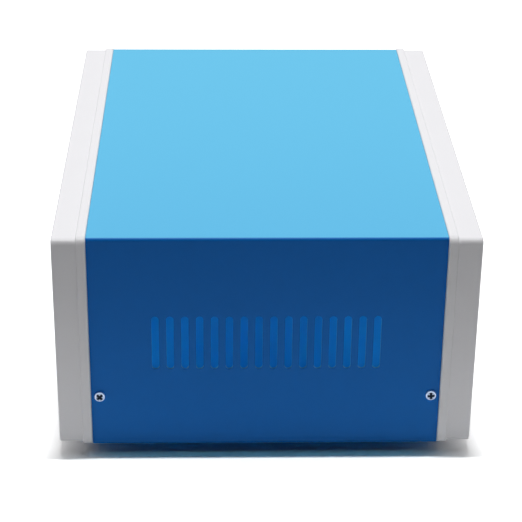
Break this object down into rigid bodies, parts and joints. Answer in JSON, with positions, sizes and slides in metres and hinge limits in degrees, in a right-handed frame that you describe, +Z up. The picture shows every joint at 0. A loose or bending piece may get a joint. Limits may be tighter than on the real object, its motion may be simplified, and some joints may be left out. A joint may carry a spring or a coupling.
{
  "type": "instrument case",
  "caption": "Boxy instrument case: folded blue steel cover with side vents over a tray, between moulded light grey bezels with blank panels, on low feet.",
  "frame": {"origin": "centre of the footprint, in the plane that the feet stand on", "axes": "+X to the right across the width seen from the front, +Y towards the rear, +Z up; the front panel faces -Y"},
  "size_m": [0.25, 0.19, 0.11],
  "materials": {
    "blue_powder_coat": "satin",
    "bezel_plastic": "matte",
    "panel_plastic": "matte",
    "foot_rubber": "matte",
    "zinc_screw": "bright",
    "zinc_nut": "satin"
  },
  "bodies": {
    "root": {"top_cover": "blue_powder_coat", "base_tray": "blue_powder_coat", "front_bezel": "bezel_plastic", "rear_bezel": "bezel_plastic", "front_panel": "panel_plastic", "rear_panel": "panel_plastic", "foot_front_left": "foot_rubber", "foot_front_right": "foot_rubber", "foot_rear_left": "foot_rubber", "foot_rear_right": "foot_rubber", "foot_screw_front_left": "zinc_screw", "foot_screw_front_right": "zinc_screw", "foot_screw_rear_left": "zinc_screw", "foot_screw_rear_right": "zinc_screw", "foot_nut_front_left": "zinc_nut", "foot_nut_front_right": "zinc_nut", "foot_nut_rear_left": "zinc_nut", "foot_nut_rear_right": "zinc_nut", "cover_screw_front_left": "zinc_screw", "cover_screw_front_right": "zinc_screw", "cover_screw_rear_left": "zinc_screw", "cover_screw_rear_right": "zinc_screw", "cover_nut_front_left": "zinc_nut", "cover_nut_front_right": "zinc_nut", "cover_nut_rear_left": "zinc_nut", "cover_nut_rear_right": "zinc_nut", "bezel_screw_front_left": "zinc_screw", "bezel_screw_front_right": "zinc_screw", "bezel_screw_rear_left": "zinc_screw", "bezel_screw_rear_right": "zinc_screw", "panel_screw_front_top_left": "zinc_screw", "panel_screw_front_top_right": "zinc_screw", "panel_screw_front_bottom_left": "zinc_screw", "panel_screw_front_bottom_right": "zinc_screw", "panel_screw_rear_top_left": "zinc_screw", "panel_screw_rear_top_right": "zinc_screw", "panel_screw_rear_bottom_left": "zinc_screw", "panel_screw_rear_bottom_right": "zinc_screw"}
  },
  "joints": []
}
